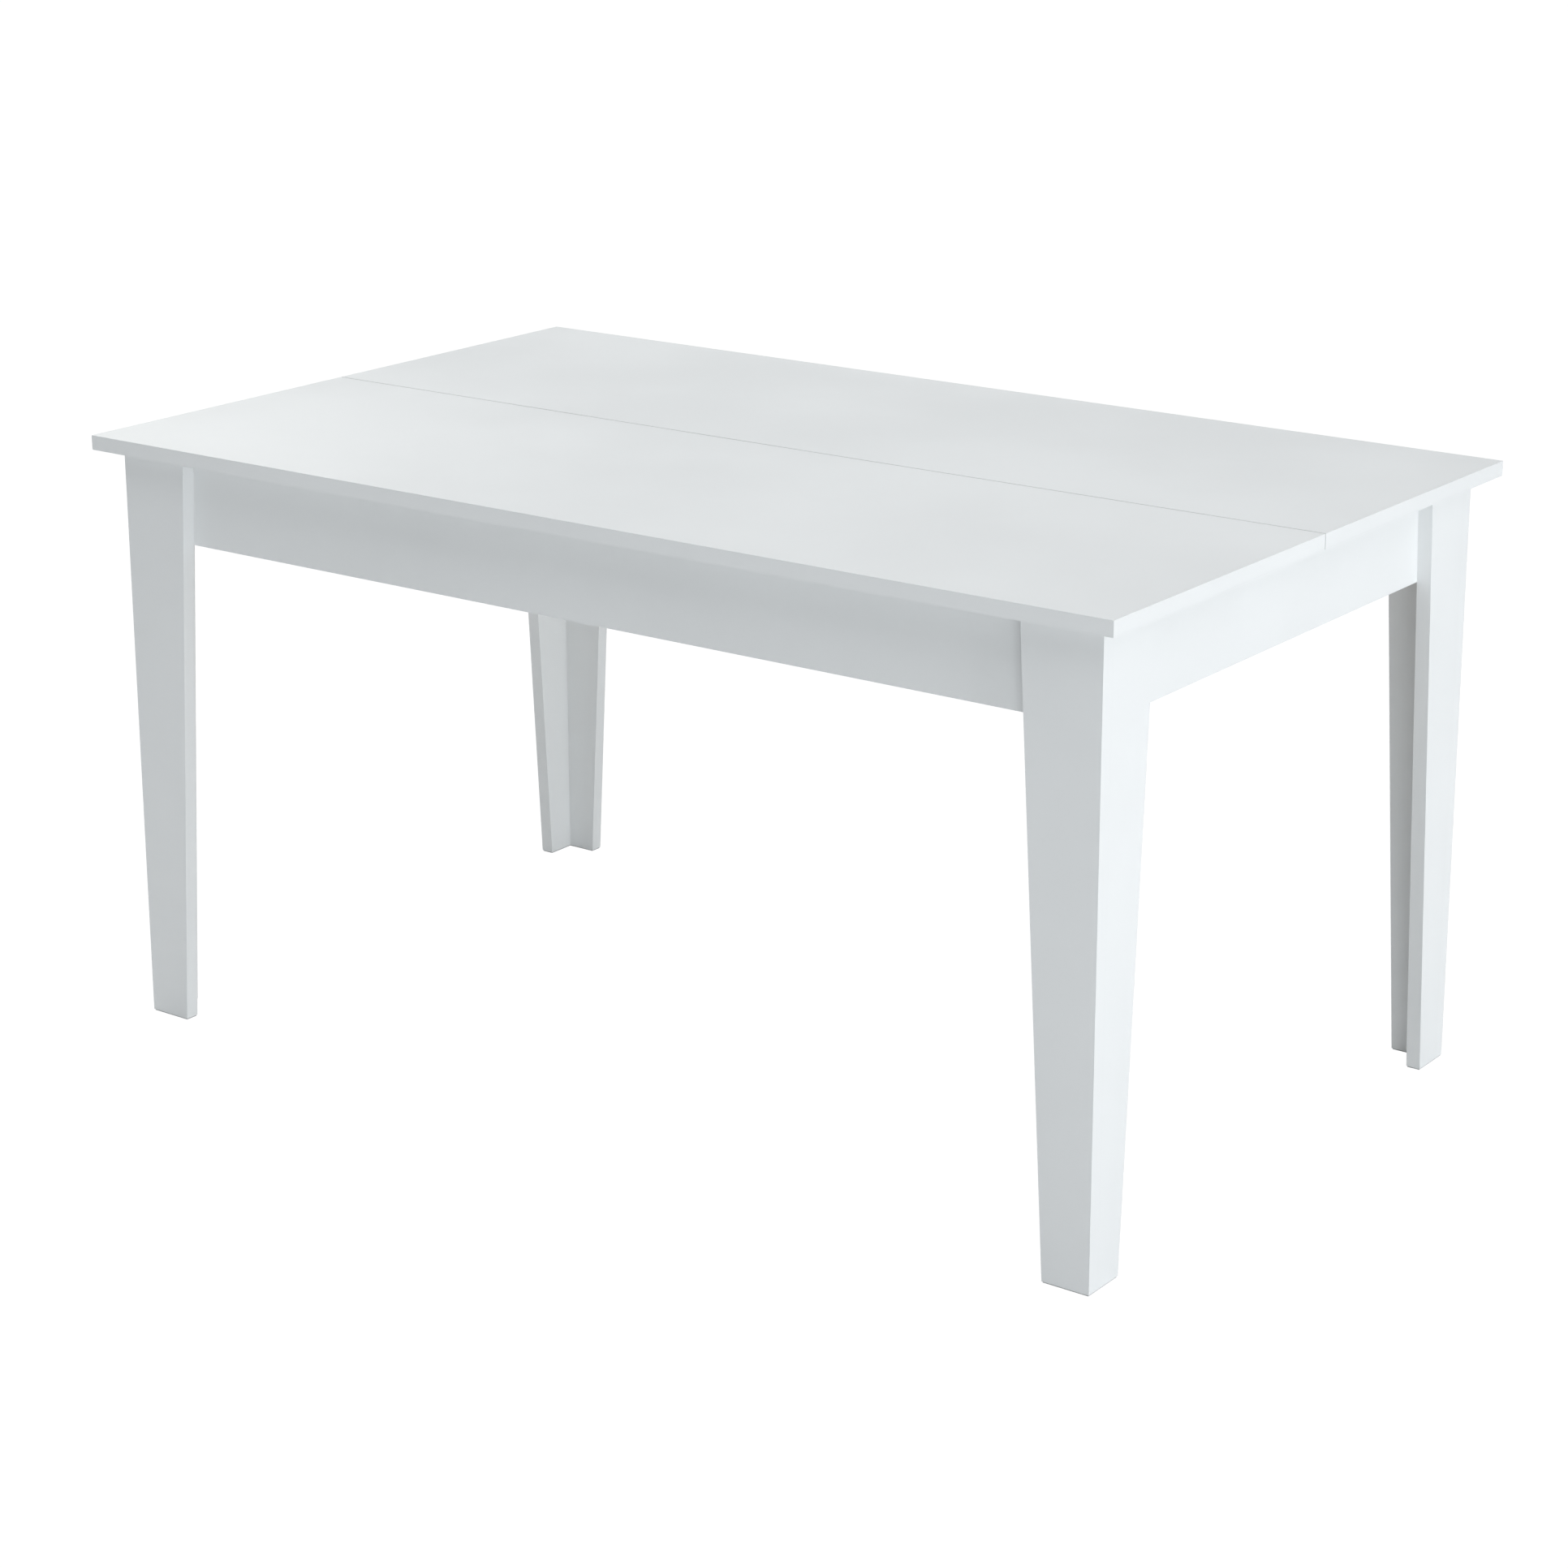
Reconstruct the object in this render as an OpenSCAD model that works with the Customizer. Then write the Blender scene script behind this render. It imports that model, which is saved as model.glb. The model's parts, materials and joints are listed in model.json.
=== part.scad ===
// Extendable dining table. Two equal leaves part along the middle of the table and slide off a fixed
// frame on two geared rails. A folding insert, stored inside the frame, fills the opening.
// Millimetres. Origin on the floor at the middle of the table, X along the table, -Y to the front, Z up.

/* [Top] */
// Length of the closed top, along X
table_l = 1450; // [1250:10:1800]
// Depth of the closed top, along Y
table_w = 880; // [760:10:1100]
// Height of the top's upper face above the floor
table_h = 750; // [700:5:900]
// Thickness of the two leaves
top_t = 18; // [16:1:25]
// Open line between the two closed leaves
split_gap = 1.5; // [0.4:0.1:2]
// Distance that each leaf slides outwards
travel = 200; // [120:10:220]
// Height of the clearance between the frame and the sliding leaves
slide_gap = 1; // [0.8:0.1:2]

/* [Legs] */
// Distance from the edges of the top in to the outer faces of the legs
overhang = 27; // [5:1:60]
// Thickness of the leg boards
leg_t = 18; // [16:1:25]
// Width of a leg just under the top
leg_top_w = 100; // [90:1:130]
// Width of a leg at the floor
leg_foot_w = 59; // [50:1:90]
// Thickness of the glide strips under the legs
glide_t = 1.5; // [1:0.5:4]
// Distance that a glide strip stands in from the edges of its boards
glide_in = 1; // [0.5:0.5:3]
// Diameter of the nail of a glide
glide_nail_d = 2.4; // [1.6:0.2:4]
// Length of the nail of a glide
glide_nail_l = 14; // [8:1:25]

/* [Frame] */
// Thickness of the aprons
apron_t = 18; // [16:1:25]
// Height of the aprons
apron_h = 110; // [105:1:160]
// Length of the corner blocks along each apron
block_w = 60; // [50:1:90]
// Height of the corner blocks
block_h = 80; // [60:1:95]
// Diameter of the leg bolts
leg_bolt_d = 6; // [5:0.5:8]
// Depth of a leg bolt in the leg board
leg_bolt_grip = 11; // [8:1:14]

/* [Rails] */
// Distance from a side apron in to the middle of the rail next to it
rail_from_apron = 182; // [150:1:220]
// Thickness of the wooden bearer under a rail
bearer_t = 18; // [16:1:25]
// Width of the wooden bearer under a rail
bearer_w = 90; // [86:1:120]
// Thickness of the rail channel's sheet
channel_t = 2; // [1.5:0.5:3]
// Height of the open space in the rail channel
channel_h = 18.6; // [18:0.1:24]
// Distance from the leaves down to the floor of the rail channel
channel_drop = 43; // [40:1:60]
// Width of the lips that hold the runners down
lip_w = 5; // [4:0.5:7]
// Width of a runner's web
web_w = 9; // [8:0.5:14]
// Width of the foot that a leaf is screwed to
runner_foot_w = 30; // [24:1:36]
// Thickness of the foot that a leaf is screwed to
foot_t = 8; // [6:1:12]
// Gap between a sliding runner and its channel
run_gap = 0.3; // [0.2:0.05:0.5]
// Thickness of the rubber buffers that end the travel
buffer_t = 6.7; // [4:0.1:12]
// Diameter of the rubber buffers
buffer_d = 12; // [8:1:14]

/* [Gears] */
// Module of the racks and pinions
gear_module = 2; // [1.5:0.5:2]
// Number of teeth of a pinion
pinion_teeth = 18; // [18:2:20]
// Height of the teeth along the pinion's axis
gear_h = 12; // [8:1:14]
// Thinning of each tooth, which leaves play in the mesh
tooth_play = 0.2; // [0.1:0.05:0.3]
// Thickness of a rack behind its teeth
rack_back = 4; // [3:0.5:6]
// Diameter of a pinion's axle
axle_d = 8; // [6:1:10]
// Diameter of an axle's collar
axle_collar_d = 16; // [12:1:20]

/* [Insert] */
// Thickness of the insert's two halves
insert_t = 18; // [16:1:22]
// Height of the insert bearers
insert_bearer_h = 18; // [16:1:22]
// Width of the insert bearers
insert_bearer_w = 40; // [30:1:60]
// Distance of the insert bearers from the middle of the table
insert_bearer_x = 220; // [150:5:260]
// Clearance above the stored insert, under the battens of the leaves
insert_clear = 5; // [3.5:0.5:12]
// Length of an insert hinge
hinge_l = 60; // [50:5:90]
// Width of a hinge plate
hinge_w = 25; // [20:1:35]
// Thickness of a hinge plate
hinge_t = 1.5; // [1:0.1:1.5]
// Radius of a hinge knuckle
knuckle_r = 2.8; // [2.6:0.1:3]
// Diameter of a hinge pin
hinge_pin_d = 3; // [2:0.1:3]
// Distance between neighbouring hinges
hinge_pitch = 130; // [80:5:160]

/* [Fittings] */
// Width of the stiffening batten under each leaf
batten_w = 40; // [30:1:60]
// Height of the stiffening batten under each leaf
batten_h = 18; // [15:1:22]
// Length of each side of a bracket
bracket_l = 25; // [22:1:26]
// Width of a bracket
bracket_w = 40; // [34:1:60]
// Thickness of a bracket
bracket_t = 2; // [1.5:0.5:3]
// Diameter of the locating pins at the split
pin_d = 8; // [6:1:10]
// Depth of a locating pin in its leaf
pin_seat = 20; // [12:1:30]
// Length of a locating pin outside its leaf
pin_reach = 12; // [8:1:20]
// Radial clearance of a locating pin in its socket
socket_gap = 0.3; // [0.2:0.05:0.5]
// Distance from a side apron in to a lock's pivot
lock_from_apron = 70; // [60:1:100]
// Distance from a lock's pivot to its keeper stud
lock_reach = 40; // [34:1:60]
// Width of a lock's lever
lock_w = 14; // [12:1:16]
// Distance from a lock's pivot to its plate's screws, along X and along Y
lock_screw_in = 13; // [12.5:0.5:16]
// Thickness of a lock's plates and lever
lock_t = 3; // [2:0.5:4]
// Diameter of a lock's pivot and stud
lock_stud_d = 6; // [5:0.5:8]
// Diameter of the wood screws
screw_d = 4; // [3:0.5:5]
// Diameter of the screw heads
screw_head_d = 8; // [6:0.5:9]
// Height of the screw heads
screw_head_h = 2.5; // [2:0.25:3]
// Grip of a screw in the wood beyond the piece that it holds
screw_grip = 12; // [8:1:14]

/* [Hidden] */
$fn = 48;

// Sides of the table, as signs along X and Y
left = -1;
right = 1;
front = -1;
rear = 1;

// Colours
board_white = [0.92, 0.93, 0.93];
bare_wood = [0.80, 0.68, 0.50];
zinc = [0.72, 0.74, 0.76];
alu = [0.82, 0.83, 0.85];
nylon = [0.25, 0.26, 0.28];
rubber = [0.12, 0.12, 0.12];
pale_plastic = [0.85, 0.85, 0.84];

// Fits: radial clearance of a fixed pin or screw, of a running bore, and an overshoot for clean cuts
fixed_fit = 0.05;
running_fit = 0.06;
cut = 1;

// Heights
leaf_z = table_h - top_t;
frame_z = leaf_z - slide_gap;
apron_z = frame_z - apron_h;
rail_floor_z = leaf_z - channel_drop;
channel_z = rail_floor_z - channel_t;
lip_z = rail_floor_z + channel_h;
bearer_z = channel_z - bearer_t;

// Plan sizes of the frame
half_l = table_l / 2;
half_w = table_w / 2;
leg_x = half_l - overhang;
leg_y = half_w - overhang;
apron_x = leg_x - leg_t;
apron_y = leg_y - leg_t;
inner_x = apron_x - apron_t;
inner_y = apron_y - apron_t;

// Rails, measured from the middle of a rail
foot_in = 4;
foot_screws = 3;
foot_screw_in = 18;
gear_lift = 3;
axle_foot = 12;
axle_end = 3;
clip_t = 1;
rail_x = inner_x - rail_from_apron;
pitch_r = gear_module * pinion_teeth / 2;
tooth_top = gear_module;
tooth_root = 1.25 * gear_module;
rack_x = pitch_r + tooth_root + rack_back;
web_x = rack_x + web_w;
lip_x = web_x + run_gap;
runner_x = lip_x + lip_w - run_gap;
wall_x = runner_x + run_gap;
channel_x = wall_x + channel_t;
runner_base_z = rail_floor_z + run_gap;
runner_top_z = lip_z - run_gap;
runner_far_y = inner_y - buffer_t - run_gap;
runner_near_y = runner_far_y - travel;
foot_end_y = split_gap / 2 + foot_in;
foot_z = leaf_z - foot_t;
foot_screw_step = (runner_near_y - foot_end_y - 2 * foot_screw_in) / (foot_screws - 1);
gear_z = rail_floor_z + gear_lift;
rack_pitch = PI * gear_module;
rack_spare_teeth = 3;
rack_teeth = ceil(travel / rack_pitch) + 2 * rack_spare_teeth;

// Insert, folded with its undersides together
insert_top_z = leaf_z - batten_h - insert_clear;
insert_fold = 6;
insert_z = insert_top_z - 2 * insert_t - insert_fold;
insert_mid_z = insert_z + insert_t + insert_fold / 2;
insert_half_l = half_l / 2;
insert_half_w = travel;
insert_bearer_z = insert_z - insert_bearer_h;
hinge_gap = 0.4;
knuckle_l = (hinge_l - 2 * hinge_gap) / 3;
hinge_edge_x = insert_half_l - 1;
hinge_ys = [-hinge_pitch, 0, hinge_pitch];
hinge_screw_d = 3;
hinge_head_d = 5.4;
hinge_head_h = 1.1;
hinge_screw_l = 12;

// Fittings
pin_xs = [150, 540];
pin_z = table_h - top_t / 2;
lock_x = inner_x - lock_from_apron;
lock_pivot_y = -25;
lock_lever_gap = 0.3;
lock_plate_z = leaf_z - lock_t;
lock_lever_z = lock_plate_z - lock_lever_gap - lock_t;
lock_stud_y = lock_pivot_y + lock_reach;
lock_tail = 14;
lock_button_t = 1.5;
lock_hook_play = 2;
batten_half_l = rail_x - bearer_w / 2 - 5;
batten_y = runner_near_y;
batten_screw_xs = [60, 180, 300];
channel_screw_ys = [60, 180];
pad_l = 40;
pad_w = 12;
pad_x = rail_x - 80;
pad_y = 200;
pad_t = slide_gap - run_gap;
bracket_screw_in = 15;
block_bolt_in = 20;
block_counterbore = 15;
bolt_head_d = 11;
bolt_head_h = 4;
block_z = apron_z + (apron_h - block_h) / 2;
block_bolt_zs_x = [block_z + 12, block_z + block_h - 12];
block_bolt_zs_y = [block_z + 26, block_z + block_h - 26];

// ---- Shared shapes ----

// Box given by its lowest and highest corners
module block(low, high) {
    translate(low) cube(high - low);
}

// Box on the left or right side of the table, x0 and x1 as distances from the middle
module side_box(sx, x0, x1, y0, y1, z0, z1) {
    block([min(sx * x0, sx * x1), y0, z0], [max(sx * x0, sx * x1), y1, z1]);
}

// Box on the front or rear side of the table, y0 and y1 as distances from the middle
module face_box(sy, x0, x1, y0, y1, z0, z1) {
    block([x0, min(sy * y0, sy * y1), z0], [x1, max(sy * y0, sy * y1), z1]);
}

// Pan head screw along -Z, with the underside of its head at the origin
module screw(l, d = screw_d, head_d = screw_head_d, head_h = screw_head_h) {
    translate([0, 0, -l]) cylinder(h = l, d = d);
    cylinder(h = head_h, d = head_d);
}

// Hole for a screw along -Z from the origin, open at the top
module screw_hole(l, d = screw_d) {
    translate([0, 0, -l - fixed_fit]) cylinder(h = l + fixed_fit + cut, d = d + 2 * fixed_fit);
}

// Places its children at the middle of one rail
module on_rail(sx) {
    translate([sx * rail_x, 0, 0]) children();
}

// Turns the front runner, rack or screws of a rail half round for the rear ones
module as_front(sy) {
    rotate([0, 0, sy == front ? 0 : 180]) children();
}

// ---- Top ----

// Screws up through the batten
module batten_screw_places(sy) {
    for (sx = [left, right], x = batten_screw_xs)
        translate([sx * x, sy * (batten_y - batten_w / 2), leaf_z - batten_h]) rotate([180, 0, 0]) children();
}

// Screws up through the foot of a front runner, seen from the middle of its rail
module foot_screw_places() {
    for (i = [0 : foot_screws - 1])
        translate([web_x - runner_foot_w / 2, -foot_end_y - foot_screw_in - i * foot_screw_step, foot_z])
            rotate([180, 0, 0]) children();
}

// Screws of the lock plates on the front leaf, clear of the lever's swing, or of the keepers on the rear
// leaf, as distances along X from the pivot and along Y from the split
function lock_screws(sy) = sy == front
    ? [[lock_screw_in, lock_pivot_y + lock_screw_in], [-lock_screw_in, lock_pivot_y - lock_screw_in]]
    : [[0, lock_stud_y + lock_w + 2], [0, lock_stud_y + 2 * lock_w]];

module lock_screw_places(places) {
    for (sx = [left, right], place = places)
        translate([sx * (lock_x + place.x), place.y, lock_plate_z]) rotate([180, 0, 0]) children();
}

module pin_places(sy) {
    for (sx = [left, right], x = pin_xs) translate([sx * x, sy * split_gap / 2, pin_z]) children();
}

module leaf(sy) {
    color(board_white) difference() {
        face_box(sy, -half_l, half_l, split_gap / 2, half_w, leaf_z, table_h);
        batten_screw_places(sy) screw_hole(batten_h + screw_grip);
        for (sx = [left, right]) on_rail(sx) as_front(sy) foot_screw_places() screw_hole(foot_t + screw_grip);
        lock_screw_places(lock_screws(sy)) screw_hole(lock_t + screw_grip);
        if (sy == front)
            pin_places(sy) rotate([90, 0, 0]) translate([0, 0, -cut])
                cylinder(h = pin_seat + cut, d = pin_d + 2 * fixed_fit);
        else
            pin_places(sy) rotate([-90, 0, 0]) translate([0, 0, -cut])
                cylinder(h = pin_reach + cut + 1, d = pin_d + 2 * socket_gap);
    }
}

module leaf_pins() {
    color(bare_wood) pin_places(front) rotate([90, 0, 0]) translate([0, 0, -pin_reach])
        cylinder(h = pin_reach + pin_seat, d = pin_d);
}

module batten(sy) {
    color(bare_wood) difference() {
        face_box(sy, -batten_half_l, batten_half_l, batten_y - batten_w, batten_y, leaf_z - batten_h, leaf_z);
        batten_screw_places(sy) screw_hole(batten_h + screw_grip);
    }
}

module leaf_screws(sy) {
    color(zinc) {
        batten_screw_places(sy) screw(batten_h + screw_grip);
        for (sx = [left, right]) on_rail(sx) as_front(sy) foot_screw_places() screw(foot_t + screw_grip);
        lock_screw_places(lock_screws(sy)) screw(lock_t + screw_grip);
    }
}

// ---- Legs ----

// Outline of a leg board: straight outer edge, tapered inner edge, cut back by trim at the outer edge
module leg_outline(trim) {
    polygon([
        [-trim, glide_t], [-leg_foot_w, glide_t], [-leg_top_w, frame_z], [-trim, frame_z]
    ]);
}

// Nails of a glide: one at the corner and one near the inner end of each board
module glide_nail_places(sx, sy) {
    near = leg_t / 2;
    far = leg_foot_w - leg_t / 2;
    for (place = [[near, near], [far, near], [near, far]])
        translate([sx * (leg_x - place.x), sy * (leg_y - place.y), 0]) children();
}

module glide_nail_holes(sx, sy) {
    glide_nail_places(sx, sy) translate([0, 0, glide_t - cut])
        cylinder(h = glide_nail_l + cut, d = glide_nail_d + 2 * fixed_fit);
}

module leg_face(sx, sy) {
    color(board_white) difference() {
        translate([sx * leg_x, sy * (leg_y - leg_t / 2), 0])
            rotate([90, 0, 0]) linear_extrude(leg_t, center = true)
                mirror([sx == left ? 1 : 0, 0, 0]) leg_outline(0);
        glide_nail_holes(sx, sy);
        leg_bolts_at(sx, sy) leg_bolt_hole();
    }
}

module leg_side(sx, sy) {
    color(board_white) difference() {
        translate([sx * (leg_x - leg_t / 2), sy * leg_y, 0])
            rotate([90, 0, 90]) linear_extrude(leg_t, center = true)
                mirror([sy == front ? 1 : 0, 0, 0]) leg_outline(leg_t);
        glide_nail_holes(sx, sy);
        leg_bolts_at(sx, sy) leg_bolt_hole();
    }
}

// One angled strip with three nails under each leg
module leg_glides() {
    strip_w = leg_t - 2 * glide_in;
    strip_l = leg_foot_w - 2 * glide_in;
    color(pale_plastic) for (sx = [left, right], sy = [front, rear]) {
        translate([sx * (leg_x - glide_in), sy * (leg_y - glide_in), 0])
            mirror([sx == right ? 1 : 0, 0, 0]) mirror([0, sy == rear ? 1 : 0, 0]) {
                cube([strip_l, strip_w, glide_t]);
                cube([strip_w, strip_l, glide_t]);
            }
        glide_nail_places(sx, sy) cylinder(h = glide_nail_l, d = glide_nail_d);
    }
}

// ---- Frame ----

bolt_seat = block_w - block_bolt_in - block_counterbore;
leg_bolt_l = bolt_seat + apron_t + leg_bolt_grip;

// Bolts through a corner block: two along X and two along Y, heads sunk in the block
module leg_bolts_at(sx, sy) {
    for (z = block_bolt_zs_y)
        translate([sx * (inner_x - block_bolt_in), sy * (inner_y - bolt_seat), z])
            rotate([sy * 90, 0, 0]) children();
    for (z = block_bolt_zs_x)
        translate([sx * (inner_x - bolt_seat), sy * (inner_y - block_bolt_in), z])
            rotate([0, -sx * 90, 0]) children();
}

module leg_bolt_hole() {
    screw_hole(leg_bolt_l, leg_bolt_d);
}

module leg_bolts() {
    color(zinc) for (sx = [left, right], sy = [front, rear])
        leg_bolts_at(sx, sy) screw(leg_bolt_l, leg_bolt_d, bolt_head_d, bolt_head_h);
}

module corner_block(sx, sy) {
    color(bare_wood) difference() {
        translate([sx * inner_x, sy * inner_y, block_z]) linear_extrude(block_h)
            polygon([[0, 0], [-sx * block_w, 0], [0, -sy * block_w]]);
        leg_bolts_at(sx, sy) {
            union() {
                leg_bolt_hole();
                cylinder(h = block_w, d = bolt_head_d + 1);
            }
        }
    }
}

module long_apron(sy) {
    color(board_white) difference() {
        face_box(sy, -apron_x, apron_x, inner_y, apron_y, apron_z, frame_z);
        for (sx = [left, right]) leg_bolts_at(sx, sy) leg_bolt_hole();
        bracket_places() bracket_screw_places() screw_hole(bracket_t + screw_grip);
    }
}

module side_apron(sx) {
    color(board_white) difference() {
        side_box(sx, inner_x, apron_x, -inner_y, inner_y, apron_z, frame_z);
        for (sy = [front, rear]) leg_bolts_at(sx, sy) leg_bolt_hole();
    }
}

module slide_pads() {
    color(nylon) {
        for (sx = [left, right], sy = [front, rear])
            translate([sx * (inner_x + apron_t / 2), sy * pad_y, frame_z + pad_t / 2])
                cube([pad_w, pad_l, pad_t], center = true);
        for (sx = [left, right], sy = [front, rear])
            translate([sx * pad_x, sy * (inner_y + apron_t / 2), frame_z + pad_t / 2])
                cube([pad_l, pad_w, pad_t], center = true);
    }
}

// ---- Bearers and brackets ----

// Underside corners of the bearers against the front and rear aprons, as seen from the front end
module bracket_places() {
    for (sx = [left, right], sy = [front, rear]) {
        translate([sx * rail_x, sy * inner_y, bearer_z]) rotate([0, 0, sy == front ? 0 : 180]) children();
        translate([sx * insert_bearer_x, sy * inner_y, insert_bearer_z])
            rotate([0, 0, sy == front ? 0 : 180]) children();
    }
}

// Two screws up into the bearer and two into the apron
module bracket_screw_places() {
    for (x = [-bracket_w / 4, bracket_w / 4]) {
        translate([x, bracket_screw_in, -bracket_t]) rotate([180, 0, 0]) children();
        translate([x, bracket_t, -bracket_screw_in]) rotate([-90, 0, 0]) children();
    }
}

module bearer_brackets() {
    color(zinc) bracket_places() difference() {
        union() {
            block([-bracket_w / 2, 0, -bracket_t], [bracket_w / 2, bracket_l, 0]);
            block([-bracket_w / 2, 0, -bracket_l], [bracket_w / 2, bracket_t, 0]);
        }
        bracket_screw_places() screw_hole(bracket_t + screw_grip);
    }
}

module bracket_screws() {
    color(zinc) bracket_places() bracket_screw_places() screw(bracket_t + screw_grip);
}

module rail_bearer(sx) {
    color(bare_wood) difference() {
        on_rail(sx) block([-bearer_w / 2, -inner_y, bearer_z], [bearer_w / 2, inner_y, channel_z]);
        bracket_places() bracket_screw_places() screw_hole(bracket_t + screw_grip);
        channel_screw_places() screw_hole(channel_t + screw_grip);
        axle_hole();
    }
}

module insert_bearer(sx) {
    color(bare_wood) difference() {
        translate([sx * insert_bearer_x, 0, 0])
            block([-insert_bearer_w / 2, -inner_y, insert_bearer_z], [insert_bearer_w / 2, inner_y, insert_z]);
        bracket_places() bracket_screw_places() screw_hole(bracket_t + screw_grip);
    }
}

// ---- Rails ----

module channel_screw_places() {
    for (sx = [left, right], sy = [front, rear], y = channel_screw_ys)
        on_rail(sx) translate([0, sy * y, rail_floor_z]) children();
}

module channel_screws() {
    color(zinc) channel_screw_places() screw(channel_t + screw_grip);
}

// Section of the rail channel, upright in XZ, with its floor's upper face at height 0
module channel_section() {
    difference() {
        translate([-channel_x, -channel_t]) square([2 * channel_x, channel_h + 2 * channel_t]);
        translate([-wall_x, 0]) square([2 * wall_x, channel_h]);
        translate([-lip_x, 0]) square([2 * lip_x, channel_h + channel_t + cut]);
    }
}

module rail_channel(sx) {
    color(zinc) difference() {
        on_rail(sx) translate([0, 0, rail_floor_z]) rotate([90, 0, 0])
            linear_extrude(2 * inner_y, center = true) channel_section();
        channel_screw_places() screw_hole(channel_t + screw_grip);
        axle_hole();
    }
}

module travel_buffers() {
    color(rubber) for (sx = [left, right], sy = [front, rear])
        on_rail(sx) as_front(sy)
            translate([(rack_x + runner_x) / 2, -inner_y, (runner_base_z + runner_top_z) / 2])
                rotate([-90, 0, 0]) cylinder(h = buffer_t, d = buffer_d);
}

// Runner of the front leaf; the rear one is a half turn of it. The web is high only at the foot,
// where the leaf is screwed on, and runs clear under the other leaf.
module runner(sx, sy) {
    color(alu) on_rail(sx) as_front(sy) difference() {
        union() {
            block([rack_x, -runner_near_y, runner_base_z], [runner_x, runner_far_y, runner_top_z]);
            block([rack_x, -runner_near_y, runner_base_z], [web_x, runner_far_y, frame_z]);
            block([web_x - runner_foot_w, -runner_near_y, foot_z], [web_x, -foot_end_y, leaf_z]);
        }
        foot_screw_places() screw_hole(foot_t + screw_grip);
    }
}

// ---- Gears ----

function polar(r, a) = [r * cos(a), r * sin(a)];

// Angle between an involute's start and its point at radius r, for base circle radius b, in degrees
function involute(r, b) = r <= b ? 0 : sqrt(r * r / (b * b) - 1) * 180 / PI - acos(b / r);

pressure_angle = 20;
base_r = pitch_r * cos(pressure_angle);
tip_r = pitch_r + tooth_top;
root_r = pitch_r - tooth_root;
// Half of a tooth's angle at the pitch circle
half_tooth = (rack_pitch / 2 - tooth_play) / (2 * pitch_r) * 180 / PI;
flank_steps = 5;
flank_rs = [for (i = [0 : flank_steps]) base_r + (tip_r - base_r) * i / flank_steps];
function flank_angle(r) = half_tooth + involute(pitch_r, base_r) - involute(r, base_r);

module pinion_outline() {
    polygon([
        for (k = [0 : pinion_teeth - 1]) let (a = k * 360 / pinion_teeth) each concat(
            [polar(root_r, a - flank_angle(base_r))],
            [for (r = flank_rs) polar(r, a - flank_angle(r))],
            [for (i = [flank_steps : -1 : 0]) polar(flank_rs[i], a + flank_angle(flank_rs[i]))],
            [polar(root_r, a + flank_angle(base_r))]
        )
    ]);
}

module axle_places() {
    for (sx = [left, right]) on_rail(sx) translate([0, 0, rail_floor_z]) children();
}

module axle_hole() {
    axle_places() translate([0, 0, -axle_foot - fixed_fit])
        cylinder(h = axle_foot + fixed_fit + cut, d = axle_d + 2 * fixed_fit);
}

module pinion(sx) {
    color(nylon) on_rail(sx) translate([0, 0, gear_z]) difference() {
        linear_extrude(gear_h) pinion_outline();
        translate([0, 0, -cut]) cylinder(h = gear_h + 2 * cut, d = axle_d + 2 * running_fit);
    }
}

module pinion_axles() {
    color(zinc) axle_places() {
        translate([0, 0, -axle_foot]) cylinder(h = axle_foot + gear_lift + gear_h + axle_end, d = axle_d);
        cylinder(h = gear_lift - run_gap, d = axle_collar_d);
    }
}

module axle_clips() {
    color(zinc) axle_places() translate([0, 0, gear_lift + gear_h + run_gap]) difference() {
        cylinder(h = clip_t, d = axle_collar_d - 2);
        translate([0, 0, -cut]) cylinder(h = clip_t + 2 * cut, d = axle_d + 2 * fixed_fit);
    }
}

// Rack of the front leaf, its teeth towards the pinion, with a gap between teeth at the pinion's middle
module rack(sx, sy) {
    slope = tan(pressure_angle);
    half = rack_pitch / 4 - tooth_play / 2;
    tip = half - tooth_top * slope;
    foot = half + tooth_root * slope;
    low = -(rack_spare_teeth + 0.5) * rack_pitch;
    color(nylon) on_rail(sx) as_front(sy) translate([0, 0, gear_z]) linear_extrude(gear_h)
        polygon(concat(
            [[rack_x, low], [pitch_r + tooth_root, low]],
            [for (k = [0 : rack_teeth - 1]) let (y = low + (k + 1) * rack_pitch) each [
                [pitch_r + tooth_root, y - foot], [pitch_r - tooth_top, y - tip],
                [pitch_r - tooth_top, y + tip], [pitch_r + tooth_root, y + foot]
            ]],
            [[pitch_r + tooth_root, low + (rack_teeth + 1) * rack_pitch],
             [rack_x, low + (rack_teeth + 1) * rack_pitch]]
        ));
}

// ---- Locks under the split ----

module lock_plates() {
    half = lock_screw_in + 5;
    color(zinc) {
        difference() {
            for (sx = [left, right]) translate([sx * lock_x, lock_pivot_y, 0])
                block([-half, -half, lock_plate_z], [half, half, leaf_z]);
            lock_screw_places(lock_screws(front)) screw_hole(lock_t + screw_grip);
        }
        for (sx = [left, right]) translate([sx * lock_x, lock_pivot_y, 0]) {
            translate([0, 0, lock_lever_z - lock_lever_gap])
                cylinder(h = lock_t + 3 * lock_lever_gap, d = lock_stud_d);
            translate([0, 0, lock_lever_z - lock_lever_gap - lock_button_t])
                cylinder(h = lock_button_t, d = lock_stud_d + 5);
        }
    }
}

module lock_keepers() {
    color(zinc) {
        difference() {
            for (sx = [left, right]) translate([sx * lock_x, lock_stud_y, 0])
                block([-lock_w / 2, -lock_w / 2, lock_plate_z], [lock_w / 2, 2 * lock_w + 6, leaf_z]);
            lock_screw_places(lock_screws(rear)) screw_hole(lock_t + screw_grip);
        }
        for (sx = [left, right]) translate([sx * lock_x, lock_stud_y, lock_lever_z - 1])
            cylinder(h = lock_t + 2, d = lock_stud_d);
    }
}

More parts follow.
